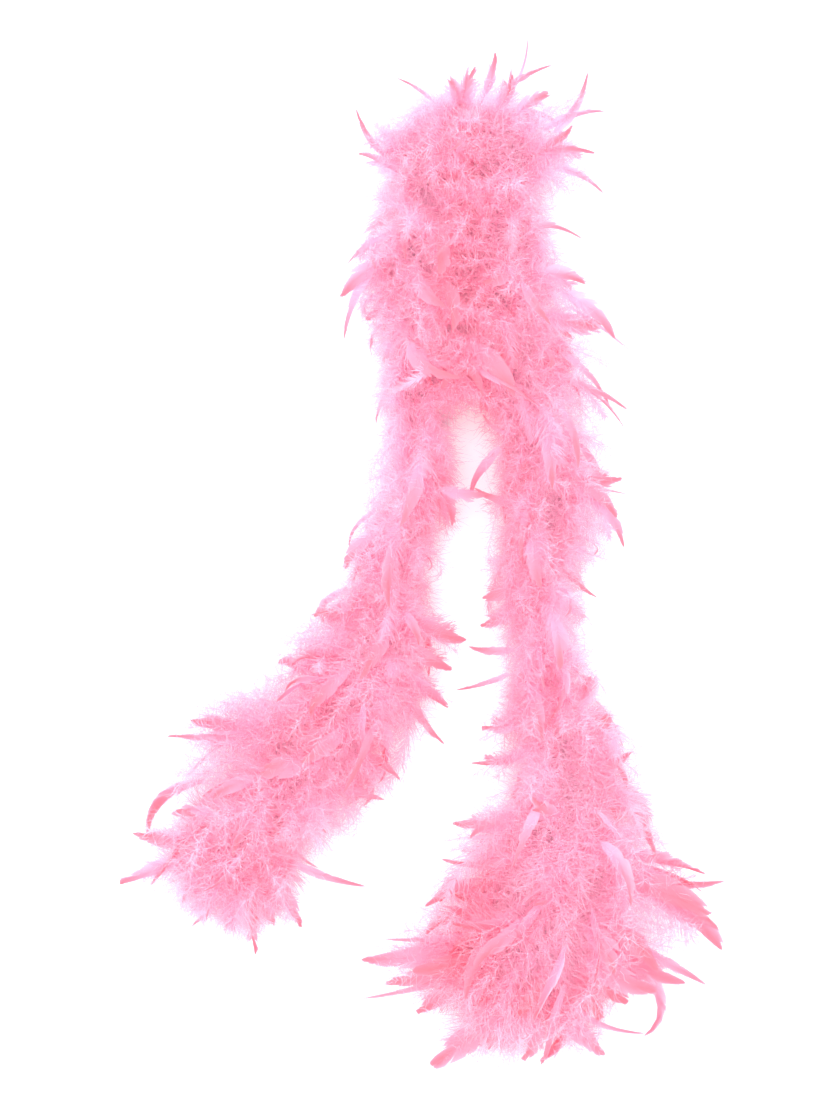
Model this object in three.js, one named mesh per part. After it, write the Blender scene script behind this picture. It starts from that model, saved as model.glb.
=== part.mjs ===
// A dyed chandelle feather boa, folded in half and lying on a table.
// One limp core cord runs the whole length. Whorls of feathers are bound round it, and each end of the
// cord is whipped with thread and knotted. The feathers sweep from the fold towards the two tails.
// Units are millimetres. +Z is up from the table and +Y points to the fold. The origin is at the middle
// of the base.
import * as THREE from "three";

// Core cord
const CORD_DIAMETER = 6;
const CORD_SIDES = 8;
const CORD_STEPS = 80;
const LAY_HEIGHT = 34; // middle of the cord above the table

// Fits
const CLEARANCE = 0.3; // between pieces that touch on the real boa
const WHORL_GAP = 0.6; // along the cord, between one whorl and the next
const STRAND_GAP = 2; // from the feathers of each strand to the middle between the two
const FOLD_TURN = 125; // length of cord that the turn at the fold takes up

// Feather whorls
const LEFT_WHORLS = 24;
const RIGHT_WHORLS = 26;
const PLUME_HEIGHT = 58; // from the cord to the top of the fluff
const TAIL_PLUME_HEIGHT = 66;
const ROOT_THICKNESS = 9; // along the cord, where the quills are bound
const TIP_THICKNESS = 2.4;
const SOLE_WIDTH = 7; // extra width along the cord where a whorl is pressed flat on the table
const END_SWEEP = 84; // how far the last whorl of each tail sweeps past its root
const FEATHER_SPACING = 46; // along the rim, between feather tips
const LEAST_FEATHERS = 8;
const MOST_FEATHERS = 12;
const NOTCH_DEPTH = 0.46; // share of a feather's reach that is free of its neighbours
const SHOULDER = 0.88; // reach of the curled side of a feather, as a share of its tip
const GOLDEN_TURN = Math.PI * (3 - Math.sqrt(5)); // turns each whorl, as a spiral winding does

// Whippings and knots
const WHIPPING_LENGTH = 12;
const WHIPPING_TURNS = 5;
const THREAD_DIAMETER = 1.6;
const WHIPPING_SIDES = 12;
const KNOT_RADIUS = 5.4; // of the knot's own loop, at the middle of the cord
const KNOT_STEPS = 32;
const KNOT_SIDES = 6;
const KNOT_CORD_DIAMETER = 4.6; // the cord draws thinner where it is pulled tight

// Where the cord lies on the table, from the left tail over the fold to the right tail.
const ROUTE = [
  [-194, -342],
  [-179, -290],
  [-142, -237],
  [-92, -187],
  [-50, -132],
  [-34, -72],
  [-26, -12],
  [-12, 48],
  [-2, 108],
  [-10, 178],
  [-10, 248],
  [-7, 318],
  [-4, 378],
  [13, 416],
  [46, 430],
  [78, 416],
  [94, 378],
  [96, 318],
  [90, 248],
  [96, 178],
  [113, 113],
  [120, 48],
  [114, -22],
  [118, -92],
  [128, -162],
  [138, -232],
  [141, -297],
  [135, -352],
  [116, -400],
  [84, -434],
];
const FOLD_POINT = 14; // index in ROUTE of the top of the fold

// Reach of the feathers from the cord at stations along each strand:
// [distance from the fold, reach outwards, reach towards the other strand]
const LEFT_REACH = [
  [0, 82, 40],
  [80, 43, 50],
  [140, 38, 50],
  [210, 56, 50],
  [280, 34, 50],
  [350, 42, 46],
  [410, 45, 56],
  [473, 46, 46],
  [534, 70, 60],
  [596, 88, 80],
  [665, 78, 80],
  [736, 108, 94],
  [802, 104, 92],
  [855, 84, 70],
];
const RIGHT_REACH = [
  [0, 82, 40],
  [76, 46, 50],
  [136, 34, 50],
  [206, 74, 50],
  [276, 62, 50],
  [343, 70, 44],
  [408, 72, 56],
  [478, 52, 52],
  [548, 50, 46],
  [619, 62, 60],
  [690, 86, 76],
  [755, 120, 120],
  [815, 176, 150],
  [865, 150, 150],
  [912, 104, 122],
];

const FEATHER_PINK = "#fdb1cd";
const CORD_PINK = "#f2a0bd";
const THREAD_PINK = "#e98fb0";

const cordRadius = CORD_DIAMETER / 2;
const route = new THREE.CatmullRomCurve3(
  ROUTE.map(([x, y]) => new THREE.Vector3(x, y, LAY_HEIGHT)),
  false,
  "centripetal",
);
route.arcLengthDivisions = 1200;
const cordLength = route.getLength();
const foldAt = distanceOfPoint(FOLD_POINT);

// Distance along the cord of one of the route's own points.
function distanceOfPoint(index) {
  const lengths = route.getLengths();
  return lengths[Math.round((index / (ROUTE.length - 1)) * (lengths.length - 1))];
}

// The cord's own frame at a distance along it: its middle, its direction, and the side away from the
// other strand. Past either end it runs on straight.
function frameAt(distance) {
  const held = THREE.MathUtils.clamp(distance, 0, cordLength);
  const middle = route.getPointAt(held / cordLength);
  const along = route.getTangentAt(held / cordLength);
  middle.addScaledVector(along, distance - held);
  const outwards = new THREE.Vector3(-along.y, along.x, 0);
  return { middle, along, outwards };
}

// A point at a radius and an angle round the cord. Angle 0 is outwards and a quarter turn is up.
function pointRound(distance, radius, angle) {
  const { middle, outwards } = frameAt(distance);
  middle.addScaledVector(outwards, radius * Math.cos(angle));
  middle.z += radius * Math.sin(angle);
  return middle;
}

// Radius of the cord's bend at a distance along it.
function bendRadius(distance) {
  const span = 12;
  const before = frameAt(distance - span).along;
  const after = frameAt(distance + span).along;
  return (2 * span) / Math.max(before.angleTo(after), 1e-3);
}

// A closed ring round the cord. Each of its sections is a loop of [distance, radius] pairs at one
// angle, given counter-clockwise with distance to the right and radius up.
function ringRound(angles, sectionAt) {
  const sections = angles.map((angle, i) =>
    sectionAt(angle, i).map(([distance, radius]) => pointRound(distance, radius, angle)),
  );
  const corners = sections[0].length;
  const positions = sections.flat().flatMap((p) => [p.x, p.y, p.z]);
  const index = [];
  sections.forEach((_, i) => {
    const here = i * corners;
    const next = ((i + 1) % sections.length) * corners;
    for (let c = 0; c < corners; c++) {
      const d = (c + 1) % corners;
      index.push(here + c, next + d, next + c);
      index.push(here + c, here + d, next + d);
    }
  });
  const geometry = new THREE.BufferGeometry();
  geometry.setAttribute("position", new THREE.Float32BufferAttribute(positions, 3));
  geometry.setIndex(index);
  geometry.computeVertexNormals();
  return geometry;
}

function cloth(colour) {
  return new THREE.MeshStandardMaterial({ color: colour, roughness: 0.9, metalness: 0 });
}

function named(name, geometry, material) {
  const mesh = new THREE.Mesh(geometry, material);
  mesh.name = name;
  return mesh;
}

function coreCord() {
  const section = new THREE.Shape();
  for (let i = 0; i < CORD_SIDES; i++) {
    const angle = (i / CORD_SIDES) * 2 * Math.PI;
    const x = cordRadius * Math.cos(angle);
    const y = cordRadius * Math.sin(angle);
    if (i === 0) section.moveTo(x, y);
    else section.lineTo(x, y);
  }
  section.closePath();
  const geometry = new THREE.ExtrudeGeometry(section, {
    steps: CORD_STEPS,
    extrudePath: route,
    bevelEnabled: false,
  });
  return named("core_cord", geometry, cloth(CORD_PINK));
}

// Turns of thread laid side by side round the cord, just inside its end.
function endWhipping(name, start) {
  const inner = cordRadius + CLEARANCE;
  const turn = WHIPPING_LENGTH / WHIPPING_TURNS;
  const angles = evenAngles(WHIPPING_SIDES, 0);
  const geometry = ringRound(angles, () => {
    const loop = [
      [start, inner],
      [start + WHIPPING_LENGTH, inner],
    ];
    for (let i = WHIPPING_TURNS; i > 0; i--) {
      const low = start + (i - 1) * turn;
      loop.push([low + turn * 0.98, inner + THREAD_DIAMETER * 0.45]);
      loop.push([low + turn * 0.5, inner + THREAD_DIAMETER]);
    }
    loop.push([start, inner + THREAD_DIAMETER * 0.45]);
    return loop;
  });
  return named(name, geometry, cloth(THREAD_PINK));
}

// The cord's end, pulled into a tight overhand knot just past the end of the straight cord.
function endKnot(name, end, outwards) {
  const { middle, along } = frameAt(end);
  const half = KNOT_RADIUS * 0.5 + KNOT_CORD_DIAMETER / 2; // of the knot, along the cord
  const geometry = new THREE.TorusKnotGeometry(
    KNOT_RADIUS,
    KNOT_CORD_DIAMETER / 2,
    KNOT_STEPS,
    KNOT_SIDES,
    2,
    3,
  );
  const knot = named(name, geometry, cloth(CORD_PINK));
  knot.quaternion.setFromUnitVectors(new THREE.Vector3(0, 0, 1), along);
  knot.position.copy(middle).addScaledVector(along, outwards * (half + CLEARANCE));
  return knot;
}

function evenAngles(count, turn) {
  return Array.from({ length: count }, (_, i) => turn + (i / count) * 2 * Math.PI);
}

// Reads a table of [distance, value, value] rows, straight between its rows.
function readTable(table, distance, column) {
  const after = table.findIndex((row) => row[0] >= distance);
  if (after === 0) return table[0][column];
  if (after < 0) return table[table.length - 1][column];
  const low = table[after - 1];
  const high = table[after];
  const share = (distance - low[0]) / (high[0] - low[0]);
  return THREE.MathUtils.lerp(low[column], high[column], share);
}

// Half the way to the nearest stretch of the other strand.
function halfWayAcross(distance) {
  const here = frameAt(distance).middle;
  let nearest = Infinity;
  for (let other = 0; other <= cordLength; other += 5) {
    const otherSide = other < foldAt !== distance < foldAt;
    if (!otherSide || Math.abs(other - distance) < FOLD_TURN) continue;
    nearest = Math.min(nearest, here.distanceTo(frameAt(other).middle));
  }
  return nearest / 2 - STRAND_GAP;
}

// How far the feathers reach from the cord, on each side and upwards.
function reachAt(distance) {
  const table = distance < foldAt ? LEFT_REACH : RIGHT_REACH;
  const fromFold = Math.abs(distance - foldAt);
  const strand = distance < foldAt ? foldAt : cordLength - foldAt;
  const towardsTail = THREE.MathUtils.smoothstep(fromFold / strand, 0.6, 1);
  return {
    outer: readTable(table, fromFold, 1),
    inner: Math.min(
      readTable(table, fromFold, 2),
      halfWayAcross(distance),
      0.8 * bendRadius(distance),
    ),
    up: THREE.MathUtils.lerp(PLUME_HEIGHT, TAIL_PLUME_HEIGHT, towardsTail),
  };
}

// Reach of a whorl's outline at an angle, as an egg shape that rests on the table.
function outline(reach, angle) {
  const side = Math.cos(angle) > 0 ? reach.outer : reach.inner;
  const across = Math.cos(angle) / side;
  const upwards = Math.sin(angle) / reach.up;
  return 1 / Math.hypot(across, upwards);
}

// One whorl of feathers: a lobed, cone-shaped ring that sweeps from its root towards the tail.
// root is the distance of its binding along the cord, and heading is +1 or -1 towards its tail.
function featherWhorl(name, root, heading, sweep, turn) {
  const reach = reachAt(root + (heading * sweep) / 2);
  const rim = Math.PI * (reach.up + (reach.outer + reach.inner) / 2);
  const count = THREE.MathUtils.clamp(
    Math.round(rim / FEATHER_SPACING),
    LEAST_FEATHERS,
    MOST_FEATHERS,
  );
  // The cord is a chain of straight steps, so in a bend the binding needs room for their sag.
  const step = cordLength / CORD_STEPS;
  const bore = cordRadius + CLEARANCE + step ** 2 / (8 * bendRadius(root));
  const lobe = [1 - NOTCH_DEPTH, SHOULDER, 1]; // notch, curled side and tip of one feather
  const angles = evenAngles(count * lobe.length, turn);
  const geometry = ringRound(angles, (angle, i) => {
    const free = outline(reach, angle) * lobe[i % lobe.length];
    const table = LAY_HEIGHT / Math.max(-Math.sin(angle), 1e-6);
    const pressed = outline(reach, angle) > table;
    const radius = pressed ? table : free;
    const share = radius / outline(reach, angle);
    const back = sweep * share - (pressed ? SOLE_WIDTH : 0);
    const front = sweep * share + TIP_THICKNESS;
    const loop = [
      [0, bore],
      [ROOT_THICKNESS, bore],
      [Math.max(front, ROOT_THICKNESS), radius],
      [Math.max(back, 0), radius],
    ].map(([offset, r]) => [root + heading * offset, r]);
    return heading > 0 ? loop : loop.reverse();
  });
  return named(name, geometry, cloth(FEATHER_PINK));
}

// All the whorls of one strand, counted from the fold to the tail.
function strandOfWhorls(side, count, heading) {
  const first = foldAt + (heading * WHORL_GAP) / 2;
  const last = heading > 0 ? cordLength - WHIPPING_LENGTH : WHIPPING_LENGTH;
  const pitch = (Math.abs(last - first) - 2 * CLEARANCE) / count;
  const sweep = pitch - WHORL_GAP - TIP_THICKNESS;
  return Array.from({ length: count }, (_, i) => {
    const name = `feather_whorl_${side}_${String(i + 1).padStart(2, "0")}`;
    const root = first + heading * pitch * i;
    return featherWhorl(name, root, heading, i === count - 1 ? END_SWEEP : sweep, i * GOLDEN_TURN);
  });
}

const boa = new THREE.Group();
boa.add(coreCord());
boa.add(endKnot("end_knot_left", 0, -1));
boa.add(endKnot("end_knot_right", cordLength, 1));
boa.add(endWhipping("end_whipping_left", 0));
boa.add(endWhipping("end_whipping_right", cordLength - WHIPPING_LENGTH));
boa.add(...strandOfWhorls("left", LEFT_WHORLS, -1));
boa.add(...strandOfWhorls("right", RIGHT_WHORLS, 1));

// The origin goes to the middle of the boa's base.
const box = new THREE.Box3().setFromObject(boa, true);
boa.position.set(-(box.min.x + box.max.x) / 2, -(box.min.y + box.max.y) / 2, 0);

export default boa;
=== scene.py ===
"""A pink chandelle feather boa, folded in half and laid on a pale table, seen from straight above.

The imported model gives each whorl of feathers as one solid. Here every whorl is made again as separate
feathers, each with its shaft and down and some with a vane of barbs, on a twisted cord bound with thread.
"""

import math

import bpy
import numpy as np
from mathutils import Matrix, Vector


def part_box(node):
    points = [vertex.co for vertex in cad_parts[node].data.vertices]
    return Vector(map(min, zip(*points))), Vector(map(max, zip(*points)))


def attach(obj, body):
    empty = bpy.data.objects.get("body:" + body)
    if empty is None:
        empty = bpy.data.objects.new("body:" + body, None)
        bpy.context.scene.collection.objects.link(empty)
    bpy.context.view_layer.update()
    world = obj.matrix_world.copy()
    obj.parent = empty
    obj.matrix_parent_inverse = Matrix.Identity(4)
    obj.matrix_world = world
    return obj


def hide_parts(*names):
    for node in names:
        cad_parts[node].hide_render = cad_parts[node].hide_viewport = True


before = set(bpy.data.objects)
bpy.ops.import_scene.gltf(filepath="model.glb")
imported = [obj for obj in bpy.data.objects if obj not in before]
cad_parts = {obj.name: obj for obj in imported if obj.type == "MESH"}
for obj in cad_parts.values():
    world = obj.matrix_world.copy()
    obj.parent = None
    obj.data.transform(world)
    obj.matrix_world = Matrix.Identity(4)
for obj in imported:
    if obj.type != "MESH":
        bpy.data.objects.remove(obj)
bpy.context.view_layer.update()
MM = 0.001

# ---------------------------------------------------------------------------------------------------
# Where the cord lies, and the camera.
# The boa lies on the table, folded in half, with its fold away from the viewer. It is seen from
# straight above through a long lens, which keeps both tails at one scale.
# ---------------------------------------------------------------------------------------------------
ROUTE = [
    (-194, -342),
    (-179, -290),
    (-142, -237),
    (-92, -187),
    (-50, -132),
    (-34, -72),
    (-26, -12),
    (-12, 48),
    (-2, 108),
    (-10, 178),
    (-10, 248),
    (-7, 318),
    (-4, 378),
    (13, 416),
    (46, 430),
    (78, 416),
    (94, 378),
    (96, 318),
    (90, 248),
    (96, 178),
    (113, 113),
    (120, 48),
    (114, -22),
    (118, -92),
    (128, -162),
    (138, -232),
    (141, -297),
    (135, -352),
    (116, -400),
    (84, -434),
]
LAY_HEIGHT = 34 * MM  # of the cord's middle above the table


def smooth_route(points, steps=90):
    """Centripetal Catmull-Rom curve through the points, as rows of (x, y)."""
    p = np.array(points, float)
    p = np.vstack([2 * p[0] - p[1], p, 2 * p[-1] - p[-2]])
    made = []
    for a, b, c, d in zip(p[:-3], p[1:-2], p[2:-1], p[3:]):
        knots = np.cumsum([0] + [np.linalg.norm(e) ** 0.5 for e in (b - a, c - b, d - c)])
        t = np.linspace(knots[1], knots[2], steps, endpoint=False)[:, None]
        ab = (knots[1] - t) / (knots[1] - knots[0]) * a + (t - knots[0]) / (knots[1] - knots[0]) * b
        bc = (knots[2] - t) / (knots[2] - knots[1]) * b + (t - knots[1]) / (knots[2] - knots[1]) * c
        cd = (knots[3] - t) / (knots[3] - knots[2]) * c + (t - knots[2]) / (knots[3] - knots[2]) * d
        abc = (knots[2] - t) / (knots[2] - knots[0]) * ab + (t - knots[0]) / (knots[2] - knots[0]) * bc
        bcd = (knots[3] - t) / (knots[3] - knots[1]) * bc + (t - knots[1]) / (knots[3] - knots[1]) * cd
        share = (t - knots[1]) / (knots[2] - knots[1])
        made.append((1 - share) * abc + share * bcd)
    return np.vstack([*made, p[-2:-1]])


cord_low, cord_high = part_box("core_cord")
cord_xy = smooth_route(ROUTE) * MM
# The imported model's origin is the middle of its base, so the route moves onto the cord's own solid.
route_shift = (np.array(cord_low[:2]) + np.array(cord_high[:2])) / 2 - (cord_xy.min(0) + cord_xy.max(0)) / 2
cord_xy = cord_xy + route_shift
cord_at = np.concatenate([[0], np.cumsum(np.linalg.norm(np.diff(cord_xy, axis=0), axis=1))])
cord_length = cord_at[-1]
cord_along = np.gradient(cord_xy, cord_at, axis=0)
cord_along /= np.linalg.norm(cord_along, axis=1)[:, None]


def on_cord(distance):
    """Middle, direction and outward side of the cord at distances along it, and straight past its ends."""
    distance = np.asarray(distance, float)
    held = np.clip(distance, 0, cord_length)
    middle = np.stack([np.interp(held, cord_at, cord_xy[:, i]) for i in (0, 1)], -1)
    along = np.stack([np.interp(held, cord_at, cord_along[:, i]) for i in (0, 1)], -1)
    along = along / np.linalg.norm(along, axis=-1, keepdims=True)
    middle = middle + along * (distance - held)[..., None]
    height = np.full(distance.shape + (1,), LAY_HEIGHT)
    level = np.zeros(distance.shape + (1,))
    middle = np.concatenate([middle, height], -1)
    outward = np.concatenate([-along[..., 1:], along[..., :1], level], -1)
    return middle, np.concatenate([along, level], -1), outward


CAMERA_HEIGHT = 4.2
PICTURE_HEIGHT = 1100 * MM  # of the table that the picture shows
PICTURE_MIDDLE = (-2 * MM, -2 * MM)  # on the route's own axes

camera = bpy.data.objects.new("camera", bpy.data.cameras.new("camera"))
bpy.context.scene.collection.objects.link(camera)
camera.data.sensor_fit = "VERTICAL"
camera.data.angle = 2 * math.atan(PICTURE_HEIGHT / 2 / (CAMERA_HEIGHT - LAY_HEIGHT))
camera.data.clip_end = 30
camera.location = (*(route_shift + PICTURE_MIDDLE), CAMERA_HEIGHT)
bpy.context.scene.camera = camera

# ---------------------------------------------------------------------------------------------------
# Core cord.
# Three-ply cotton cord, dyed with the feathers. The plies are laid in a right-hand twist, and the
# quills are bound round it, so it shows only where the down parts.
# ---------------------------------------------------------------------------------------------------
CORD_DIAMETER = 6 * MM
PLIES = 3
PLY_LAY = 22 * MM  # length of cord in one turn of a ply
PLY_GROOVE = 0.16  # depth between two plies, as a share of the cord's radius
CORD_STEP = 1.5 * MM
CORD_RING = 18  # corners round the cord


def ribbon_faces(rows, corners, closed):
    """Faces of one strip or tube of rows, each with so many corners."""
    across = corners if closed else corners - 1
    row, corner = np.meshgrid(np.arange(rows - 1), np.arange(across), indexing="ij")
    nxt = (corner + 1) % corners
    a, b = row * corners + corner, row * corners + nxt
    return np.stack([a, b, b + corners, a + corners], -1).reshape(-1, 4)


def grid_faces(count, rows, corners, closed=False):
    """Faces of many like strips or tubes, one after the other."""
    one = ribbon_faces(rows, corners, closed)
    return (one[None] + (np.arange(count) * rows * corners)[:, None, None]).reshape(-1, 4)


def make_piece(name, points, faces, values=(), uv=None):
    """A shaded-smooth mesh object from arrays, with its named point values and its map."""
    mesh = bpy.data.meshes.new(name)
    mesh.vertices.add(len(points))
    mesh.vertices.foreach_set("co", np.ascontiguousarray(points, np.float32).ravel())
    mesh.loops.add(faces.size)
    mesh.loops.foreach_set("vertex_index", faces.astype(np.int32).ravel())
    mesh.polygons.add(len(faces))
    mesh.polygons.foreach_set("loop_start", np.arange(0, faces.size, 4, dtype=np.int32))
    mesh.polygons.foreach_set("use_smooth", np.ones(len(faces), bool))
    mesh.update(calc_edges=True)
    for value_name, numbers in values:
        layer = mesh.attributes.new(value_name, "FLOAT", "POINT")
        layer.data.foreach_set("value", np.ascontiguousarray(numbers, np.float32).ravel())
    if uv is not None:
        layer = mesh.uv_layers.new(name="OFBake")
        layer.uv.foreach_set("vector", np.ascontiguousarray(uv[faces.ravel()], np.float32).ravel())
    piece = bpy.data.objects.new(name, mesh)
    bpy.context.scene.collection.objects.link(piece)
    return piece


def ring_tube(middle, side, up, radius):
    """Corners of a tube: one ring for each row of middle, with radius as (rows, corners)."""
    turn = np.linspace(0, 2 * np.pi, radius.shape[1], endpoint=False)
    ring = np.cos(turn)[None, :, None] * side[:, None] + np.sin(turn)[None, :, None] * up[:, None]
    return middle[:, None] + ring * radius[..., None]


def linear(code):
    """Linear colour and full alpha from an sRGB hex code."""
    value = [int(code[i : i + 2], 16) / 255 for i in (1, 3, 5)]
    return [c / 12.92 if c <= 0.04045 else ((c + 0.055) / 1.055) ** 2.4 for c in value] + [1.0]


def add_node(tree, kind, settings=(), **links):
    """A node with its settings, and its inputs given as values or as sockets that feed them."""
    node = tree.nodes.new(kind)
    for key, value in dict(settings).items():
        setattr(node, key, value)
    for key, value in links.items():
        socket = node.inputs[int(key[1:])] if key[1:].isdigit() else node.inputs[key.replace("_", " ")]
        if isinstance(value, bpy.types.NodeSocket):
            tree.links.new(value, socket)
        else:
            socket.default_value = value
    return node


# Dyed cotton: soft, matt, with the fine fuzz of its fibres.
COTTON_PINK = "#ffb4cc"
COTTON_SHADE = "#ff9cbb"
FIBRE_SPACING = 0.9 * MM  # drawn coarser than the 0.02 mm of the real fibres, which would not show

cotton = bpy.data.materials.new("dyed_cotton")
cotton.use_nodes = True
tree = cotton.node_tree
place = add_node(tree, "ShaderNodeTexCoord")
fibres = add_node(
    tree, "ShaderNodeTexNoise", Vector=place.outputs["Object"], Scale=1 / FIBRE_SPACING, Detail=3.0
)
shade = add_node(
    tree,
    "ShaderNodeMix",
    {"data_type": "RGBA"},
    _0=fibres.outputs["Fac"],
    _6=linear(COTTON_SHADE),
    _7=linear(COTTON_PINK),
)
bump = add_node(tree, "ShaderNodeBump", Strength=0.4, Distance=0.2 * MM, Height=fibres.outputs["Fac"])
cloth = tree.nodes["Principled BSDF"]
cloth.inputs["Roughness"].default_value = 0.9
cloth.inputs["Sheen Weight"].default_value = 0.4
tree.links.new(shade.outputs[2], cloth.inputs["Base Color"])
tree.links.new(bump.outputs["Normal"], cloth.inputs["Normal"])

cord_steps = int(cord_length / CORD_STEP)
cord_rows = np.linspace(0, cord_length, cord_steps)
cord_middle, _, cord_side = on_cord(cord_rows)
cord_up = np.tile([0.0, 0.0, 1.0], (cord_steps, 1))
around_cord = np.linspace(0, 2 * np.pi, CORD_RING, endpoint=False)
ply_turn = around_cord[None] * PLIES - 2 * np.pi * PLIES * cord_rows[:, None] / PLY_LAY
ply_radius = CORD_DIAMETER / 2 * (1 - PLY_GROOVE + PLY_GROOVE * np.abs(np.cos(ply_turn / 2)) ** 0.6)
core_points = ring_tube(cord_middle, cord_side, cord_up, ply_radius)
core_faces = ribbon_faces(cord_steps, CORD_RING, closed=True)
core_cord = make_piece("core_cord_plies", core_points.reshape(-1, 3), core_faces)
core_cord.data.materials.append(cotton)
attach(core_cord, "root")
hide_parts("core_cord")

# ---------------------------------------------------------------------------------------------------
# End knots, end whippings and binding thread.
# Each end of the cord is whipped with spun thread and knotted, so that the plies can't open. The same
# thread is wound along the whole cord, over the quills, and holds every feather.
# ---------------------------------------------------------------------------------------------------
THREAD_PINK = "#ffacc6"
THREAD_SHADE = "#ff94b6"
THREAD_DIAMETER = 0.7 * MM
BINDING_PITCH = 5 * MM  # along the cord, from one turn of thread to the next
QUILL_BED = 0.5 * MM  # thickness of the quills under the thread
THREAD_TWIST = 1.58 * MM  # from one twist of the thread to the next
WAVE_REPEAT = 2 * math.pi / 20  # of the wave texture at scale 1
THREAD_MARGIN = 14 * MM  # kept free at each end of the cord, for the whippings and knots
ROWS_PER_TURN = 10
THREAD_RING = 5  # corners round the thread

thread = bpy.data.materials.new("spun_thread")
thread.use_nodes = True
tree = thread.node_tree
place = add_node(tree, "ShaderNodeTexCoord")
twist = add_node(
    tree,
    "ShaderNodeTexWave",
    Vector=place.outputs["Object"],
    Scale=WAVE_REPEAT / THREAD_TWIST,
    Distortion=2.0,
)
shade = add_node(
    tree,
    "ShaderNodeMix",
    {"data_type": "RGBA"},
    _0=twist.outputs["Fac"],
    _6=linear(THREAD_SHADE),
    _7=linear(THREAD_PINK),
)
spun = tree.nodes["Principled BSDF"]
spun.inputs["Roughness"].default_value = 0.75
spun.inputs["Sheen Weight"].default_value = 0.3
tree.links.new(shade.outputs[2], spun.inputs["Base Color"])

thread_rows = int(cord_length / BINDING_PITCH * ROWS_PER_TURN)
thread_at = np.linspace(THREAD_MARGIN, cord_length - THREAD_MARGIN, thread_rows)
middle, along, side = on_cord(thread_at)
wind = 2 * np.pi * thread_at / BINDING_PITCH
up = np.tile([0.0, 0.0, 1.0], (thread_rows, 1))
winding = CORD_DIAMETER / 2 + QUILL_BED
spoke = np.cos(wind)[:, None] * side + np.sin(wind)[:, None] * up
thread_middle = middle + spoke * winding
thread_radius = np.full((thread_rows, THREAD_RING), THREAD_DIAMETER / 2)
thread_corners = ring_tube(thread_middle, spoke, along, thread_radius)
thread_faces = ribbon_faces(thread_rows, THREAD_RING, closed=True)
binding = make_piece("binding_thread", thread_corners.reshape(-1, 3), thread_faces)
binding.data.materials.append(thread)
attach(binding, "root")

for end in ("left", "right"):
    for node, finish in ((f"end_knot_{end}", cotton), (f"end_whipping_{end}", thread)):
        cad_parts[node].data.materials.clear()
        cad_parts[node].data.materials.append(finish)

# ---------------------------------------------------------------------------------------------------
# Feathers.
# Dyed turkey chandelle feathers, bound by their quills in whorls and swept towards the tails. Each has
# a thin curved shaft. Most carry only long soft down, and a few also a soft fan or a pointed vane.
# ---------------------------------------------------------------------------------------------------
FEATHER_LENGTH = 80 * MM
SHAFT_WIDTH = 0.8 * MM
SHAFT_ROWS = 14
PUFFS_PER_WHORL = 22  # feathers of long down that stands out all round the shaft
PUFF_BARBS = 118
FANS_PER_WHORL = 2  # feathers whose loose barbs lie in a soft fan
FAN_HALF_WIDTH = 21 * MM
FAN_DOWN_BARBS = 60
BLADES_PER_WHORL = 2  # feathers with a closed vane at the tip
BLADE_HALF_WIDTH = 7 * MM
BLADE_DOWN_BARBS = 60
CLUMPS_PER_WHORL = 5  # groups in which a whorl's feathers lie, with deeper pockets between them
FAN_START = 0.05  # share of the shaft below the fan
VANE_START = 0.42  # share of the shaft below a closed vane, which carries only down
VANE_END = 0.985  # where the last barbs grow, so that the shaft's tip stays bare
VANE_BARBS = 44  # on each side, drawn coarser than the real 0.4 mm spacing so that they show
FAN_BARBS = 80
BARB_ROWS = 4
DOWN_LENGTH = 26 * MM
DOWN_WIDTH = 0.6 * MM  # with the fuzz of its barbules
DOWN_LEAN = (25, 95)  # degrees from the shaft
DOWN_WIGGLE = 0.07  # shares of its length by which a barb of down waves and bends
DOWN_BEND = 0.19
FAN_BARB_WIDTH = 1.05 * MM
FAN_PARTINGS = 0.25  # share of a fan's barbs that start a new clump
VANE_PARTINGS = 0.2
WHORL_RUN = 36 * MM  # of cord over which the quills of a whorl are bound
TABLE_CLEARANCE = 0.6 * MM
PILE_HEIGHT = 104 * MM
PRESSED = 14 * MM  # at the top of the pile, within which taller feathers are pressed down

rng = np.random.default_rng(20)


def unit(v):
    """The same directions at length 1."""
    return v / np.maximum(np.linalg.norm(v, axis=-1, keepdims=True), 1e-12)


def along_rows(rows, share):
    """Values of rows (feathers, rows, 3) at a share (feathers, n) of the way along."""
    at = share * (rows.shape[1] - 1)
    low = np.clip(at.astype(int), 0, rows.shape[1] - 2)
    part = (at - low)[..., None]
    pick = np.arange(len(rows))[:, None]
    return rows[pick, low] * (1 - part) + rows[pick, low + 1] * part


def settled(points):
    """Lays what would pass through the table flat on it, and presses down what stands above the pile."""
    height = points[..., 2]
    flat = TABLE_CLEARANCE + 0.02 * (TABLE_CLEARANCE - height)
    top = PILE_HEIGHT - PRESSED
    tall = top + PRESSED * np.tanh((height - top) / PRESSED)
    points[..., 2] = np.where(height < TABLE_CLEARANCE, flat, np.where(height > top, tall, height))
    return points


def evened(path):
    """Paths (feathers, rows, 3) with their rows set at even steps along them."""
    step = np.linalg.norm(np.diff(path, axis=1), axis=-1)
    run = np.concatenate([np.zeros((len(path), 1)), np.cumsum(step, axis=1)], axis=1)
    even = np.linspace(0, 1, path.shape[1])
    rows = [[np.interp(even * r[-1], r, p[:, i]) for i in range(3)] for r, p in zip(run, path)]
    return np.array(rows).transpose(0, 2, 1)


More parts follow.
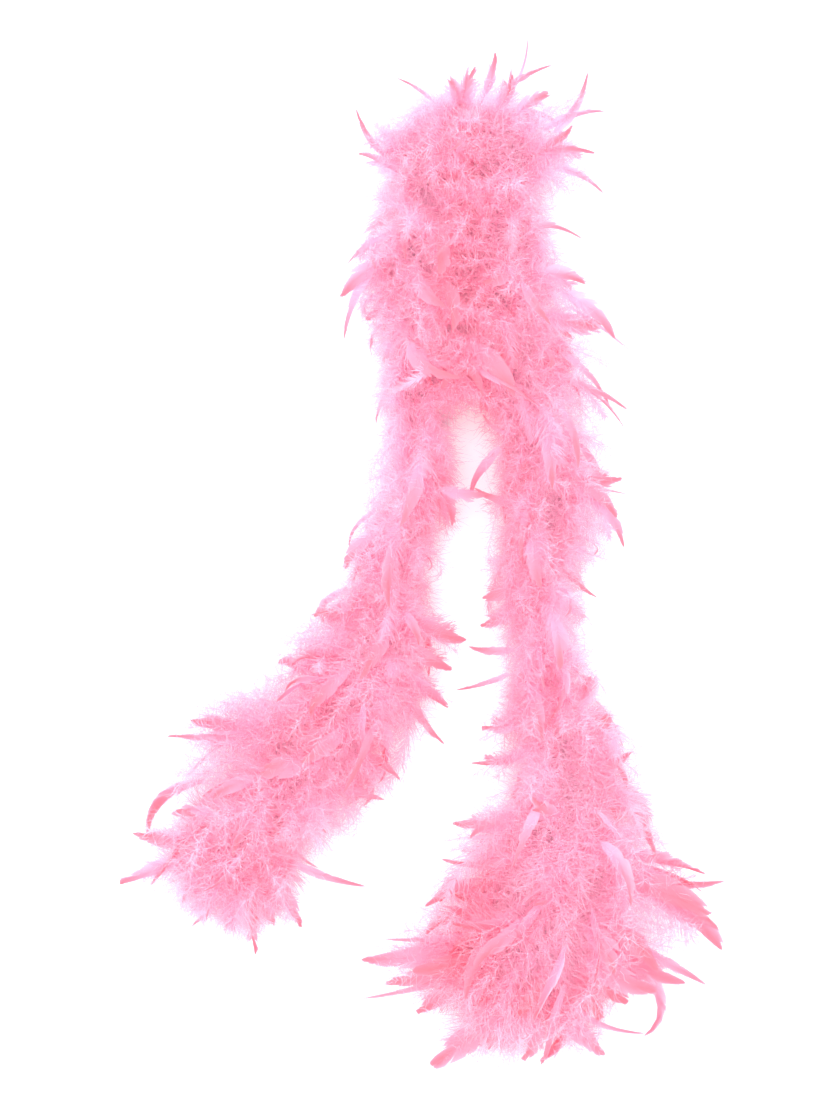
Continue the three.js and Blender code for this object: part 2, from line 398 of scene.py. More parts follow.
def shafts_along_strand(root, heading, angle, reach, sweep, curl):
    """Shafts (feathers, rows, 3) from the cord out to their reach, swept along it, and their spokes."""
    t = np.linspace(0, 1, SHAFT_ROWS)[None]
    start = CORD_DIAMETER / 2 + QUILL_BED
    radius = start + (reach[:, None] - start) * (1 - (1 - t) ** 1.6)
    distance = root[:, None] + heading * sweep[:, None] * t**1.3
    turn = angle[:, None] + curl[:, None] * t**2
    middle, _, side = on_cord(distance)
    spoke = np.cos(turn)[..., None] * side + np.sin(turn)[..., None] * np.array([0.0, 0.0, 1.0])
    path = middle + spoke * radius[..., None]
    bow, back = rng.normal(0, 0.14, (2, len(root), 1, 3)) * reach[:, None, None]
    t = t[..., None]
    return settled(evened(path + bow * t**2 + back * t**2 * (1 - t) * 3)), unit(spoke)


def ribbons(middle, flat, half):
    """Strips along the rows of middle, of a half width to both sides along flat."""
    return np.stack([middle - flat * half, middle + flat * half], -2)


def shaft_part(path, side, face):
    """Corners, faces and shares of thin four-cornered shafts that taper towards the tip."""
    rows = np.linspace(0, 1, SHAFT_ROWS)[None, :, None]
    thick = SHAFT_WIDTH / 2 * (1 - 0.85 * rows)
    corners = np.stack([path + way * thick for way in (side, face, -side, -face)], 2)
    faces = grid_faces(len(path), SHAFT_ROWS, 4, closed=True)
    return corners, faces, np.broadcast_to(rows, corners.shape[:-1])


def vane_part(path, direction, side, face, half_width, hand, loose):
    """The barbs on one side. A closed vane parts in a few places, and loose ones spread into a fan."""
    count = len(path)
    length = np.linalg.norm(np.diff(path, axis=1), axis=-1).sum(1)
    barbs, first = (FAN_BARBS, FAN_START) if loose else (VANE_BARBS, VANE_START)
    u = np.linspace(0, 1, BARB_ROWS)
    t = np.linspace(0, 1, barbs)[None] * np.ones((count, 1))
    at = first + (VANE_END - first) * t
    base, run = along_rows(path, at), along_rows(direction, at)
    out, top = along_rows(side, at) * hand, along_rows(face, at)
    parting = np.cumsum(rng.random(t.shape) < (FAN_PARTINGS if loose else VANE_PARTINGS), axis=1)
    clump = rng.normal(0, 1, (count, barbs + 1, 3))[np.arange(count)[:, None], parting]
    if loose:
        lean = np.radians(66 - 26 * t + 6 * clump[..., 0] + rng.normal(0, 11, t.shape))
        spread = np.sin(np.pi / 2 * np.clip(0.45 + t / 0.5, 0, 1)) * (1 - t**2.4) ** 0.6 + 0.25
        spread = spread * (1 + 0.12 * clump[..., 1]) * rng.uniform(0.4, 1.15, t.shape)
        rise = 0.08 * clump[..., 2] + rng.normal(0, 0.14, t.shape)
        half = np.full(t.shape, FAN_BARB_WIDTH / 2)
        taper = 0.65
    else:
        lean = np.radians(48 - 32 * t + 5 * clump[..., 0])
        spread = np.sin(np.pi / 2 * np.clip(0.35 + t / 0.4, 0, 1)) * (1 - t**1.3) ** 0.95 + 0.03
        spread = spread * (1 + 0.11 * clump[..., 1]) / np.sin(np.maximum(lean, 0.35))
        rise = 0.02 * clump[..., 2]
        # Wide enough to close on the next barb, but never wider than a short barb is long
        half = 0.75 * length[:, None] * (VANE_END - VANE_START) / VANE_BARBS
        half = np.minimum(half, 0.6 * half_width[:, None] * spread)
        taper = 0.55
    barb = (half_width[:, None] * spread)[..., None, None]
    u_out = np.sin(lean)[..., None] * u - 0.14 * u**2
    u_run = np.cos(lean)[..., None] * u + 0.22 * u**2
    u_top = rise[..., None] * u - 0.2 * u**2
    reached = out[:, :, None] * u_out[..., None] + run[:, :, None] * u_run[..., None]
    middle = base[:, :, None] + (reached + top[:, :, None] * u_top[..., None]) * barb
    go = unit(np.gradient(middle, axis=2))
    flat = unit(np.cross(np.broadcast_to(top[:, :, None], go.shape), go))
    corners = ribbons(middle, flat, half[..., None, None] * (1 - taper * u**1.5)[:, None])
    share = at[..., None] * (0.55 + 0.25 * u) + 0.15 * u if loose else at[..., None] + 0.1 * u
    faces = grid_faces(count * barbs, BARB_ROWS, 2)
    return corners, faces, np.broadcast_to(share[..., None], corners.shape[:-1])


def down_part(path, direction, side, face, down_barbs, down_length, covers):
    """Long, soft, wavy barbs all round the shaft, over the share of it that they cover."""
    count = len(path)
    u = np.linspace(0, 1, BARB_ROWS)
    t = np.sort(rng.uniform(0.1, 1, (count, down_barbs)) ** 1.3, axis=1) * covers
    base, run = along_rows(path, t), along_rows(direction, t)
    out, top = along_rows(side, t), along_rows(face, t)
    round_shaft = rng.uniform(0, 2 * np.pi, t.shape)[..., None]
    spread_way = np.cos(round_shaft) * out + np.sin(round_shaft) * top
    lean = np.radians(rng.uniform(*DOWN_LEAN, t.shape))[..., None]
    start_way = unit(np.cos(lean) * run + np.sin(lean) * spread_way)
    down = down_length[:, None] * (1 - 0.45 * t**2) * rng.uniform(0.6, 1.2, t.shape)
    sway = unit(np.cross(start_way, run + 1e-6))
    phase = rng.uniform(0, 2 * np.pi, (2, *t.shape, 1))
    waves = zip((1.1, 1.5), phase)
    wiggle = [DOWN_WIGGLE * u * np.sin(2 * np.pi * turns * u + begin) for turns, begin in waves]
    bend = rng.normal(0, DOWN_BEND, (*t.shape, 1, 3)) * (u**2)[:, None]
    middle = base[:, :, None] + down[..., None, None] * (
        start_way[:, :, None] * u[:, None]
        + sway[:, :, None] * wiggle[0][..., None]
        + np.cross(sway, start_way)[:, :, None] * wiggle[1][..., None]
        + bend
    )
    go = unit(np.gradient(middle, axis=2))
    flat = unit(np.cross(go, unit(rng.normal(0, 1, (*t.shape, 1, 3)))))
    corners = ribbons(middle, flat, DOWN_WIDTH / 2 * (1 - 0.7 * u)[:, None])
    faces = grid_faces(count * down_barbs, BARB_ROWS, 2)
    return corners, faces, np.broadcast_to((0.55 * t[..., None] + 0.35 * u)[..., None], corners.shape[:-1])


def feather_set(path, spoke, half_width, twist, kind, down_barbs, down_length):
    """Corners, faces, share of the way from root to tip, tone and stripe of a set of feathers."""
    count = len(path)
    direction = unit(np.gradient(path, axis=1))
    # A feather's face turns away from the cord and up, and then rolls by its own twist
    face_up = unit(spoke + np.array([0.0, 0.0, 0.6]))
    normal = unit(face_up - (face_up * direction).sum(-1, keepdims=True) * direction)
    across = np.cross(direction, normal)
    roll = (twist[:, :1] + twist[:, 1:] * np.linspace(0, 1, SHAFT_ROWS))[..., None]
    side = np.cos(roll) * across + np.sin(roll) * normal
    face = np.cos(roll) * normal - np.sin(roll) * across

    loose = kind != "blade"
    parts = [shaft_part(path, side, face)]
    for hand in () if kind == "puff" else (-1, 1):
        parts.append(vane_part(path, direction, side, face, half_width, hand, loose))
    covers = 0.98 if loose else 0.65
    parts.append(down_part(path, direction, side, face, down_barbs, down_length, covers))

    tone = rng.uniform(0, 1, count)
    begun = 0
    points, faces, shares, tones, stripes = [], [], [], [], []
    for corners, part_faces, share in parts:
        corners = settled(corners.reshape(count, -1, 3))
        n = corners.shape[1]
        points.append(corners.reshape(-1, 3))
        faces.append(part_faces + begun)
        shares.append(share.ravel())
        tones.append(np.repeat(tone, n))
        stripes.append((np.arange(count)[:, None] + np.tile([0.15, 0.85], n // 2)).ravel())
        begun += count * n
    return [np.concatenate(column) for column in (points, faces, shares, tones, stripes)]


def plume_piece(name, sets):
    """One piece from sets of feathers. Its map has a stripe for each feather, from root to tip."""
    begun, first = 0, 0
    for made in sets:
        made[1] = made[1] + begun
        made[4] = made[4] + first
        begun += len(made[0])
        first = math.ceil(made[4].max())
    points, faces, share, tone, stripe = [np.concatenate(column) for column in zip(*sets)]
    share = np.clip(share, 0, 1)
    # Kept just inside the edges of the map
    spots = np.stack([0.01 + 0.98 * share, stripe / first], -1)
    return make_piece(name, points, faces, (("along", share), ("tone", tone)), spots)


def whorl_facts(node):
    """Root distance, heading, and reach to each side and up of a whorl, measured on its own solid."""
    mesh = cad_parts[node].data
    co = np.zeros((len(mesh.vertices), 3), np.float32)
    mesh.vertices.foreach_get("co", co.ravel())
    nearest = np.linalg.norm(co[:, None, :2] - cord_xy[None, ::4], axis=-1).argmin(1) * 4
    side = np.stack([-cord_along[nearest, 1], cord_along[nearest, 0]], -1)
    out = ((co[:, :2] - cord_xy[nearest]) * side).sum(1)
    hub = np.hypot(out, co[:, 2] - LAY_HEIGHT) < CORD_DIAMETER
    heading = -1 if "left" in node else 1
    root = cord_at[nearest[hub]].min() if heading > 0 else cord_at[nearest[hub]].max()
    return root, heading, cord_at[nearest[out.argmax()]], out.max(), -out.min(), co[:, 2].max() - LAY_HEIGHT


# Dyed feather: keratin barbs, matt and a little see-through. The root is paler and the tip deeper pink.
# This is partly the paler colour of the down, and partly painted light: it lifts the shade deep in the pile
# and tempers the strong light on the top layer.
FEATHER_ROOT = "#ffe8f3"
FEATHER_MIDDLE = "#ffd9ea"
FEATHER_TIP = "#ffbbcc"
TONE_SPREAD = 0.24  # how far the dye differs from feather to feather, as a share of the way along
SEE_THROUGH = 0.75  # share of the light that a barb lets through

feather = bpy.data.materials.new("dyed_feather")
feather.use_nodes = True
tree = feather.node_tree
along_value = add_node(tree, "ShaderNodeAttribute", {"attribute_name": "along"})
tone_value = add_node(tree, "ShaderNodeAttribute", {"attribute_name": "tone"})
shift = add_node(
    tree,
    "ShaderNodeMath",
    {"operation": "MULTIPLY_ADD"},
    _0=tone_value.outputs["Fac"],
    _1=TONE_SPREAD,
    _2=-TONE_SPREAD / 2,
)
depth = add_node(
    tree, "ShaderNodeMath", {"operation": "ADD"}, _0=along_value.outputs["Fac"], _1=shift.outputs[0]
)
# Ramp from root to tip: part real paler down, part painted light that lightens the shaded depths of the
# pile and darkens the brightly lit tips
colours = add_node(tree, "ShaderNodeValToRGB", _0=depth.outputs[0])
ramp = colours.color_ramp
ramp.elements[0].position, ramp.elements[0].color = 0.15, linear(FEATHER_ROOT)
ramp.elements[1].position, ramp.elements[1].color = 0.9, linear(FEATHER_TIP)
ramp.elements.new(0.5).color = linear(FEATHER_MIDDLE)
vane = tree.nodes["Principled BSDF"]
vane.inputs["Roughness"].default_value = 0.7
vane.inputs["Specular IOR Level"].default_value = 0.2
vane.inputs["Sheen Weight"].default_value = 0.1
tree.links.new(colours.outputs["Color"], vane.inputs["Base Color"])
through = add_node(tree, "ShaderNodeBsdfTranslucent", Color=colours.outputs["Color"])
both = add_node(tree, "ShaderNodeMixShader", _0=SEE_THROUGH, _1=vane.outputs[0], _2=through.outputs[0])
tree.links.new(both.outputs[0], tree.nodes["Material Output"].inputs["Surface"])

whorls = sorted(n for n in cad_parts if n.startswith("feather_whorl"))
facts = {node: whorl_facts(node) for node in whorls}
outline = np.array(sorted(f[2:] for f in facts.values()))
roots = {side: sorted(f[0] for n, f in facts.items() if side in n) for side in ("left", "right")}
TAIL_RUN = {"left": 38 * MM, "right": 58 * MM}  # how far feathers pass the end of the cord
HALF_REACH = 50 * MM  # of a plain whorl
BRIDGE_LENGTH = 235 * MM  # from the fold: here the two strands lie together and their feathers cross
BRIDGE_REACH = 1.55
BRIDGE_FADE = 60 * MM
GAP_MIDDLE = 400 * MM  # from the fold: here a narrow gap stays open between the strands
GAP_HALF_LENGTH = 125 * MM
GAP_REACH = 0.68
FULLNESS = 1.05  # how far the loose down stands past the whorl as modelled
fold_at = (roots["left"][-1] + roots["right"][0]) / 2


def envelope(distance, angle):
    """Reach of the feathers at a distance along the cord and an angle round it, from the whorls' solids."""
    outer, inner, up = (np.interp(distance, outline[:, 0], outline[:, i]) for i in (1, 2, 3))
    crossing = np.clip((BRIDGE_LENGTH - np.abs(distance - fold_at)) / BRIDGE_FADE, 0, 1)
    beside_gap = np.clip(1 - np.abs(np.abs(distance - fold_at) - GAP_MIDDLE) / GAP_HALF_LENGTH, 0, 1) ** 0.5
    inner = inner * (1 + (BRIDGE_REACH - 1) * crossing - (1 - GAP_REACH) * beside_gap)
    side_reach = np.where(np.cos(angle) > 0, outer, inner)
    return FULLNESS / np.hypot(np.cos(angle) / side_reach, np.sin(angle) / up)


for node, (root, heading, _, outer, inner, _) in facts.items():
    strand = node.split("_")[2]
    # A wide whorl holds more and longer feathers, above all more blades
    growth = max(outer, inner, HALF_REACH) / HALF_REACH
    clumps = CLUMPS_PER_WHORL + round(growth)
    clump_angle = rng.uniform(0, 2 * np.pi) + np.arange(clumps) * 2 * np.pi / clumps
    clump_angle = clump_angle + rng.normal(0, 0.25, clumps)
    clump_reach = rng.uniform(0.82, 1.12, clumps)
    clump_sweep = rng.uniform(0.4, 1.2, clumps)
    sets = []
    # Kind, number, barbs of down, span of reach as shares of the whorl's, half width
    kinds = (
        ("puff", PUFFS_PER_WHORL, PUFF_BARBS, (0.4, 1.0), 0),
        ("fan", FANS_PER_WHORL, FAN_DOWN_BARBS, (0.45, 0.9), FAN_HALF_WIDTH),
        ("blade", BLADES_PER_WHORL, BLADE_DOWN_BARBS, (0.6, 1.12), BLADE_HALF_WIDTH),
    )
    for kind, base_count, down_barbs, spread, half_width in kinds:
        count = round(base_count * growth ** (1.6 if kind == "blade" else 1))
        clump = np.arange(count) % clumps
        turn = clump_angle[clump] + rng.normal(0, 0.5 if kind == "puff" else 0.28, count)
        angle = turn - (0.1 if kind == "puff" else 0.3) * np.sin(2 * turn)
        size = FEATHER_LENGTH * growth**0.8 * rng.normal(1, 0.12, count)
        starts = root + heading * rng.uniform(0, WHORL_RUN, count)
        room = (cord_length - starts if heading > 0 else starts) + TAIL_RUN[strand]
        guess = envelope(starts, angle)
        sweep = np.sqrt(np.maximum(size**2 - guess**2, (0.3 * size) ** 2))
        sweep = sweep * clump_sweep[clump] * rng.uniform(0.7, 1.3, count)
        sweep = np.minimum(sweep, room * rng.uniform(0.75, 1, count))
        past = np.clip((sweep - room + TAIL_RUN[strand]) / TAIL_RUN[strand], 0, 1)
        reach = envelope(starts + heading * sweep, angle) * np.sqrt(1 - 0.8 * past**2) * clump_reach[clump]
        curl = rng.normal(0, 0.4, count)
        twist = np.stack([rng.normal(0, 0.6, count), rng.normal(0, 0.9, count)], -1)
        reach = reach * rng.uniform(*spread, count)
        width = half_width * growth**0.5 * rng.uniform(0.45, 1.15, count)
        path, spoke = shafts_along_strand(starts, heading, angle, reach, sweep, curl)
        down_length = DOWN_LENGTH * growth**0.4 * rng.uniform(0.8, 1.1, count)
        sets.append(feather_set(path, spoke, width, twist, kind, down_barbs, down_length))
    piece = plume_piece(node.replace("feather_whorl", "plumes"), sets)
    piece.data.materials.append(feather)
    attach(piece, "root")
    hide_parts(node)

# ---------------------------------------------------------------------------------------------------
# Long plumes.
# Single full-length wing feathers that stand out of the pile. They are bound in with the whorls, and
# give the boa its ragged outline and the blades that lie across it.
# ---------------------------------------------------------------------------------------------------
# Each: distance of its root along the cord, x, y and height of its tip on the route's axes, half width
# of its vane, and how far its middle bows to the left, all in mm
LONG_PLUMES = [
    # crown, round the fold
    (862, 105, 511, 60, 2, -16),
    (866, 130, 480, 62, 4, 8),
    (838, -27, 468, 60, 2.5, -4),
    (858, 73, 492, 66, 6, -5),
    (850, 52, 474, 70, 9, 5),
    (845, 28, 464, 64, 8, -4),
    (872, 90, 470, 56, 8, -6),
    (895, 126, 452, 60, 8, 6),
    # tufts beside the fold
    (915, 165, 474, 66, 5, -18),
    (925, 183, 434, 60, 5, 14),
    (940, 181, 352, 56, 4, 16),
    (930, 172, 392, 70, 7, 10),
    (920, 150, 420, 60, 6, -8),
    (770, -66, 438, 60, 4, 12),
    (750, -64, 392, 54, 6, -8),
    # tufts below them
    (690, -80, 250, 50, 9, -10),
    (700, -78, 206, 46, 5, -18),
    (720, -75, 282, 56, 6, -8),
    (1035, 161, 306, 62, 3, 30),
    (1050, 192, 208, 56, 9, 18),
    (1055, 162, 262, 66, 9, 14),
    (1045, 216, 188, 50, 1.5, 8),
    (1100, 188, 140, 44, 4, 16),
    (1130, 203, 118, 40, 6, 16),
    (1140, 206, 137, 50, 4, 10),
    # blades that lie across both strands
    (640, 38, 168, 96, 9, -26),
    (600, 118, 138, 96, 9, 10),
    (615, 92, 150, 92, 12, 16),
    (580, 60, 150, 84, 8, 20),
    (1120, 20, 158, 78, 8, -14),
    (700, 24, 238, 94, 9, -12),
    (1010, 60, 262, 92, 8, 10),
    # long soft blades that lie along the strands
    (745, 16, 270, 96, 11, 12),
    (690, 30, 212, 96, 10, 14),
    (1180, 128, 60, 94, 9, 8),
    (1270, 118, -40, 90, 9, -8),
    (1350, 136, -120, 90, 9, 8),
    (1430, 120, -190, 92, 9, -8),
    (520, -22, 20, 92, 8, 8),
    (440, -32, -60, 90, 8, -8),
    (360, -62, -130, 88, 9, 8),
    (290, -112, -162, 86, 10, -8),
    (240, -120, -212, 88, 9, 8),
    # across the gap between the tails
    (1185, 60, 134, 50, 3, 16),
    (470, 66, 54, 56, 6, -8),
    (1265, 52, 60, 50, 5, 8),
    (455, 30, 22, 40, 6, 16),
    (1330, 60, -50, 46, 7, 6),
    (1345, 58, -78, 40, 7, 8),
    (350, 44, -92, 46, 9, -10),
    (325, 30, -122, 40, 9, -8),
    (1420, 33, -142, 44, 4, 6),
    (1405, 46, -98, 50, 5, 8),
    (290, 23, -197, 36, 5, -6),
    (305, 26, -160, 36, 9, -6),
    (1470, 60, -178, 40, 7, 8),
    (1500, 48, -215, 36, 6, 10),
    # outside of the right strand
    (1225, 200, 70, 46, 8, -12),
    (1255, 202, 0, 40, 7, 22),
    (1245, 194, 30, 52, 8, 14),
    (1290, 176, -50, 34, 5, -8),
    (1260, 212, 52, 30, 1.5, 6),
    (1490, 166, -130, 46, 10, -8),
    (1510, 186, -168, 44, 11, -8),
    (1530, 208, -205, 46, 10, -10),
    (1060, 178, 222, 50, 12, -8),
    # outside of the left strand
    (420, -78, -20, 40, 8, -10),
    (300, -107, -66, 44, 9, -12),
    (240, -144, -115, 40, 9, -10),
    (160, -232, -172, 40, 12, -8),
    (150, -257, -188, 40, 5, -8),
    (95, -246, -262, 36, 12, 6),
    # left tail
    (60, -290, -285, 34, 9, 8),
    (40, -303, -337, 30, 10, -6),
    (20, -232, -380, 26, 4, 6),
    (25, -167, -408, 28, 6, 4),
    (40, -120, -380, 30, 9, 8),
    (60, -54, -339, 30, 5, -8),
    (170, -22, -232, 40, 8, 10),
    (150, -37, -252, 30, 6, -6),
    (110, -102, -322, 22, 2, -14),
    (190, -160, -222, 88, 10, 10),
    (130, -205, -245, 80, 11, -8),
    # right tail
    (1575, 18, -310, 44, 6, 26),
    (1560, 30, -275, 44, 10, 12),
    (1620, 284, -326, 46, 9, 10),
    (1625, 304, -332, 44, 7, -12),
    (1650, 300, -402, 40, 16, 26),
    (1640, 285, -365, 60, 16, 12),
    (1690, 286, -438, 34, 7, 8),
    (1680, 264, -434, 44, 12, -10),
    (1660, 235, -420, 60, 13, 10),
    (1720, 226, -486, 30, 4, -24),
    (1735, 184, -508, 26, 12, -8),
    (1560, 109, -246, 96, 8, 10),
    (1690, 233, -440, 66, 14, -12),
    (1640, 110, -352, 94, 7, 8),
    (1700, 96, -462, 70, 13, 10),
    (1700, 52, -452, 66, 13, 12),
    (1690, -10, -420, 66, 14, 10),
    (1745, 70, -498, 30, 10, -8),
    (1745, 40, -506, 24, 14, 0),
    (1725, 178, -470, 36, 13, 8),
    (1700, 205, -455, 36, 12, -6),
    (1740, 9, -519, 22, 15, 8),
    (1730, -5, -466, 26, 13, -6),
    (1720, -70, -453, 24, 3, 6),
    (1700, -38, -436, 36, 13, 6),
    (1690, -62, -412, 34, 14, 8),
    (1680, -42, -390, 40, 4, 10),
    (1600, 110, -258, 92, 9, -8),
    (1670, 30, -372, 84, 12, 12),
    (1690, 190, -420, 84, 12, 16),
]
# Soft tufts without a blade, given in the same way, with no width
SOFT_TUFTS = [
    # over the cord, where the pile would part
    (1030, 76, 247, 92, 0, 6),
    (1020, 49, 236, 92, 0, -4),
    (1005, 62, 262, 90, 0, 4),
    (745, -7, 320, 92, 0, 4),
    (660, 1, 214, 92, 0, 4),
    (640, 14, 190, 90, 0, 4),
    (1460, 138, -183, 94, 0, 4),
    (1475, 120, -196, 92, 0, -4),
    (290, -91, -159, 92, 0, 4),
    (725, 2, 300, 92, 0, 4),
    (975, 86, 300, 92, 0, -4),
    (710, 34, 272, 90, 0, 4),
    (655, 56, 226, 80, 0, 4),
    (1050, 64, 222, 84, 0, -4),
    (1060, 46, 216, 72, 0, 4),
    (935, 76, 348, 94, 0, 4),
    (928, 66, 352, 88, 0, -4),
    (800, 50, 346, 90, 0, 4),
    (1065, 70, 200, 90, 0, 4),
    (730, -10, 298, 92, 0, -4),
    # where the strands part
    (590, 70, 148, 58, 0, 4),
    (605, 66, 158, 72, 0, -4),
    (1105, 8, 150, 62, 0, 4),
    (1090, 14, 158, 74, 0, -4),
    (1110, 20, 146, 46, 0, 4),
    (580, 76, 140, 58, 0, 4),
    (575, 64, 136, 44, 0, -4),
    (1115, 8, 140, 58, 0, 4),
    (1120, 18, 136, 44, 0, -4),
    # left strand, outside, from the fold to the tail
    (840, 14, 452, 60, 0, 4),
    (785, -48, 428, 60, 0, 4),
    (788, -50, 412, 60, 0, 4),
    (770, -54, 398, 56, 0, -4),
    (750, -50, 350, 56, 0, 4),
    (705, -64, 290, 56, 0, 6),
    (690, -60, 252, 52, 0, -4),
    (590, -46, 150, 50, 0, 4),
    (515, -56, 70, 46, 0, -4),
    (480, -50, 46, 46, 0, -4),
    (410, -76, -20, 44, 0, -4),
    (385, -74, -44, 44, 0, -4),
    (345, -95, -70, 44, 0, -6),
    (330, -112, -74, 44, 0, -6),
    (320, -122, -90, 44, 0, -6),
    (300, -126, -104, 44, 0, -6),
    (310, -138, -98, 44, 0, -6),
    (300, -130, -78, 44, 0, -6),
    (285, -142, -92, 44, 0, -6),
    (270, -150, -116, 44, 0, -6),
    (215, -170, -142, 44, 0, -6),
    (185, -226, -160, 44, 0, -6),
    (200, -204, -146, 44, 0, -6),
    (165, -246, -172, 40, 0, -6),
    (150, -250, -206, 40, 0, 4),
    (210, -190, -150, 44, 0, -6),
    (190, -196, -158, 44, 0, -6),
    (180, -234, -166, 40, 0, -6),
    (165, -226, -186, 40, 0, -6),
    (195, -214, -152, 40, 0, -6),
    (170, -226, -168, 40, 0, -6),
    (150, -238, -192, 40, 0, -6),
    (140, -246, -178, 36, 0, 4),
    # left tail
    (60, -276, -280, 36, 0, 6),
    (45, -282, -332, 30, 0, -4),
    (30, -255, -345, 30, 0, -4),
    (30, -122, -372, 30, 0, 4),
    (190, -38, -238, 40, 0, 6),
    (160, -58, -272, 40, 0, -4),
    (150, -78, -282, 36, 0, -4),
    # inside of the left strand, by the gap
    (345, 36, -102, 44, 0, -6),
    (300, 22, -150, 40, 0, -6),
    # left tail, outside
    (120, -250, -225, 40, 0, -4),
    # right strand, outside
    (912, 162, 452, 60, 0, 8),
    (915, 158, 432, 60, 0, 8),
    (925, 160, 374, 60, 0, 8),
    (922, 164, 404, 60, 0, 8),
    (930, 166, 362, 58, 0, 8),
    (935, 150, 352, 60, 0, 8),
    (1075, 172, 206, 54, 0, 8),
    (1110, 186, 178, 50, 0, 8),
    (1195, 184, 96, 46, 0, 8),
    (1220, 190, 62, 46, 0, 8),
    (1275, 188, 6, 44, 0, 8),
    (1285, 182, -16, 44, 0, -6),
    (1335, 162, -78, 44, 0, 6),
    (1400, 172, -138, 44, 0, 6),
    (1470, 196, -190, 44, 0, 6),
    (1500, 212, -220, 44, 0, 6),
    # right strand, by the gap
    (1240, 66, 30, 46, 0, 6),
    (1300, 62, -24, 46, 0, 6),
    (1350, 66, -70, 46, 0, 6),
    (1480, 52, -200, 46, 0, -6),
    (1500, 58, -232, 46, 0, -6),
    (1560, 22, -292, 46, 0, 6),
    # right tail
    (1680, -46, -404, 30, 0, 6),
    (1690, -44, -436, 30, 0, 6),
    (1695, -52, -424, 28, 0, 6),
    (1700, -16, -462, 28, 0, 6),
    (1735, 20, -496, 24, 0, 4),
    (1745, 40, -510, 22, 0, 4),
    (1720, 200, -448, 34, 0, -6),
    (1735, 172, -490, 28, 0, -6),
    (1740, 166, -506, 24, 0, -6),
    (1738, 30, -510, 24, 0, 4),
    (1640, 268, -338, 46, 0, 8),
    (1610, 240, -282, 46, 0, 8),
    (1590, 222, -250, 46, 0, 6),
    (1650, 278, -390, 40, 0, -6),
    (1600, 250, -292, 46, 0, 8),
    (1670, 252, -392, 44, 0, -6),
    (1710, 222, -442, 34, 0, -6),
    (1650, 286, -352, 46, 0, 8),
    (1655, 288, -384, 42, 0, 6),
    (1640, 276, -370, 50, 0, 6),
    (1680, 256, -398, 44, 0, -6),
    (1685, -56, -412, 30, 0, 6),
    (1700, -34, -444, 30, 0, 6),
    (1742, 56, -512, 24, 0, 4),
    (1740, 158, -500, 26, 0, -4),
    (1740, 176, -504, 24, 0, -4),
]
TUFT_BARBS = 130
TUFT_PLUMES = 3  # soft plumes in each tuft
TUFT_SPREAD = 7 * MM
CROSSING_PLUMES = 96  # soft plumes from each strand that close the hollow between them near the fold
CROSSING_FROM = 8 * MM
CROSSING_TO = 288 * MM  # from the fold, along the cord
CROSSING_TIPS = (30, 96)  # lowest and highest, in mm
LONG_LIFT = 22 * MM  # height of the middle of a plume above its root and tip
FLUFFY_FROM = 6 * MM  # half width from which a plume carries a soft fan of down below its blade


def of_strand(table, strand):
    """The rows of a table, in metres, whose root is on one strand."""
    rows = np.array(table) * MM
    return rows[(rows[:, 0] < fold_at) == (strand == "left")]


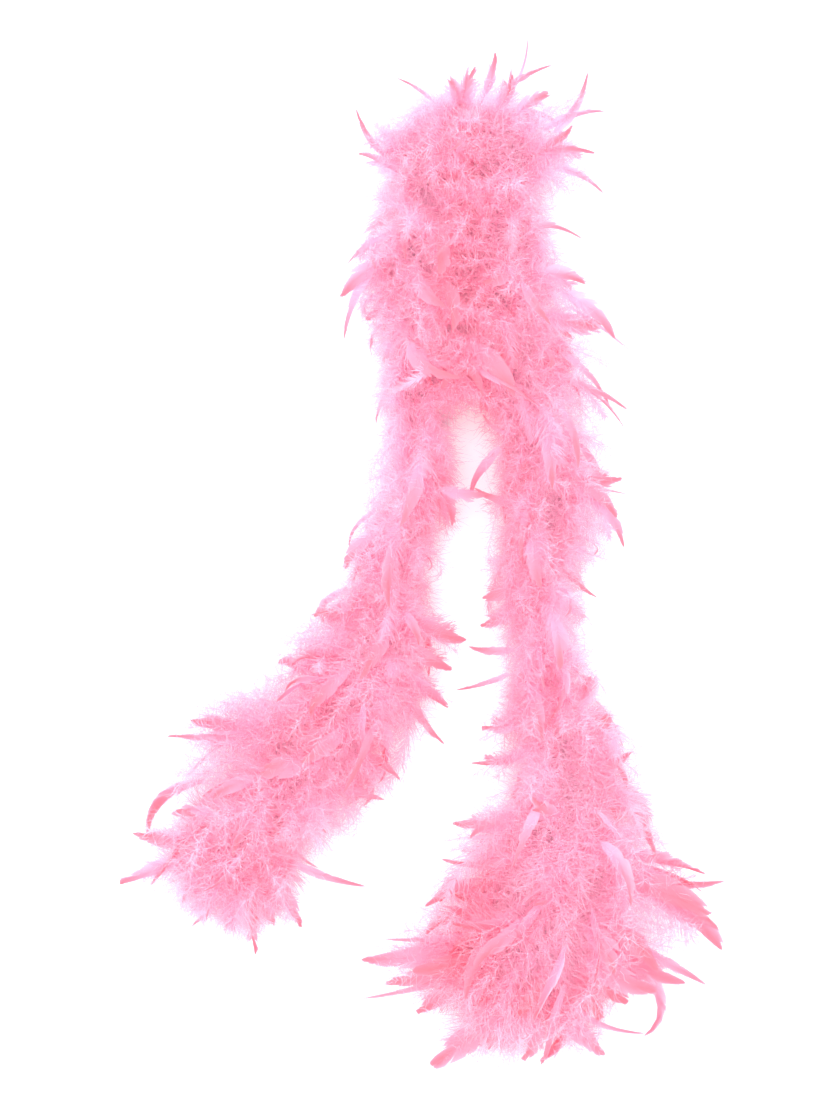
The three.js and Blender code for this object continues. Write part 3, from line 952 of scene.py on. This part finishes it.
for strand in ("left", "right"):
    blades = of_strand(LONG_PLUMES, strand)
    fluffy = blades[blades[:, 4] >= FLUFFY_FROM]
    tufts = of_strand(SOFT_TUFTS, strand).repeat(TUFT_PLUMES, axis=0)
    tufts[:, :4] += rng.normal(0, TUFT_SPREAD, (len(tufts), 4))

    # Crossing plumes run from this strand towards the other, over the hollow that the fold leaves
    steps = (np.arange(CROSSING_PLUMES) + rng.random()) / CROSSING_PLUMES
    away = (CROSSING_FROM + (CROSSING_TO - CROSSING_FROM) * steps) * (-1 if strand == "left" else 1)
    near = on_cord(fold_at + away)[0][:, :2]
    far = on_cord(fold_at - away * rng.uniform(0.85, 1.15, CROSSING_PLUMES))[0][:, :2]
    reached = near + (far - near) * rng.uniform(0.45, 0.9, (CROSSING_PLUMES, 1)) - route_shift
    height, bow = (rng.uniform(*span, CROSSING_PLUMES) * MM for span in (CROSSING_TIPS, (-6, 6)))
    crossing = np.column_stack([fold_at + away, reached, height, 0 * bow, bow])

    groups = {
        "long_plumes": (("blade", blades), ("fan", fluffy)),
        "soft_tufts": (("puff", tufts),),
        "crossing_plumes": (("puff", crossing),),
    }
    for group, kinds in groups.items():
        sets = []
        for kind, plumes in kinds:
            count = len(plumes)
            start = on_cord(plumes[:, 0])[0]
            tip = plumes[:, 1:4] + np.append(route_shift, 0)
            # The fan of down stops short of its blade's tip and lies a little below it
            if kind == "fan":
                tip = start + (tip - start) * 0.82 - np.array([0, 0, 4 * MM])
            left_of = unit(np.cross([0.0, 0.0, 1.0], tip - start))
            handle = (start + tip) / 2 + left_of * plumes[:, 5:6] * 2 + np.array([0, 0, LONG_LIFT])
            t = np.linspace(0, 1, SHAFT_ROWS)[None, :, None]
            path = (1 - t) ** 2 * start[:, None] + 2 * t * (1 - t) * handle[:, None] + t**2 * tip[:, None]
            upward = np.broadcast_to(np.array([0.0, 0.0, 1.0]), path.shape)
            twist = np.stack([rng.normal(0, 0.25, count), rng.normal(0, 0.5, count)], -1)
            width = plumes[:, 4] * (2.2 if kind == "fan" else 1.2)
            down_length = DOWN_LENGTH * rng.uniform(0.7, 1.0, count)
            barbs = TUFT_BARBS if kind == "puff" else FAN_DOWN_BARBS
            sets.append(feather_set(settled(evened(path)), upward, width, twist, kind, barbs, down_length))
        piece = plume_piece(f"{group}_{strand}", sets)
        piece.data.materials.append(feather)
        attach(piece, "root")

# ---------------------------------------------------------------------------------------------------
# Table and light.
# A white light table that glows a little, a bright overcast room and one large softbox above the
# fold's left.
# ---------------------------------------------------------------------------------------------------
TABLE_SIZE = 12.0
TABLE_GLOW = 0.12
ROOM_LIGHT = 2.0
SOFTBOX_SIZE = 2.5
SOFTBOX_POWER = 36  # watts
SOFTBOX_TILT = math.radians(-22)

bpy.ops.mesh.primitive_plane_add(size=TABLE_SIZE)
table = bpy.context.object
table.name = "table_top"
acrylic = bpy.data.materials.new("white_acrylic")
acrylic.use_nodes = True
sheet = acrylic.node_tree.nodes["Principled BSDF"]
sheet.inputs["Base Color"].default_value = linear("#f4f3f3")
sheet.inputs["Roughness"].default_value = 0.8
sheet.inputs["Emission Color"].default_value = (1, 1, 1, 1)
sheet.inputs["Emission Strength"].default_value = TABLE_GLOW
table.data.materials.append(acrylic)

world = bpy.data.worlds.new("studio")
world.use_nodes = True
world.node_tree.nodes["Background"].inputs["Color"].default_value = (1, 1, 1, 1)
world.node_tree.nodes["Background"].inputs["Strength"].default_value = ROOM_LIGHT
bpy.context.scene.world = world

softbox = bpy.data.objects.new("softbox", bpy.data.lights.new("softbox", "AREA"))
softbox.data.shape = "DISK"
softbox.data.size = SOFTBOX_SIZE
softbox.data.energy = SOFTBOX_POWER
softbox.location = (-1.2, 1.2, 3.0)
softbox.rotation_euler = (SOFTBOX_TILT, SOFTBOX_TILT, 0)
bpy.context.scene.collection.objects.link(softbox)

bpy.context.scene.view_settings.view_transform = "Standard"
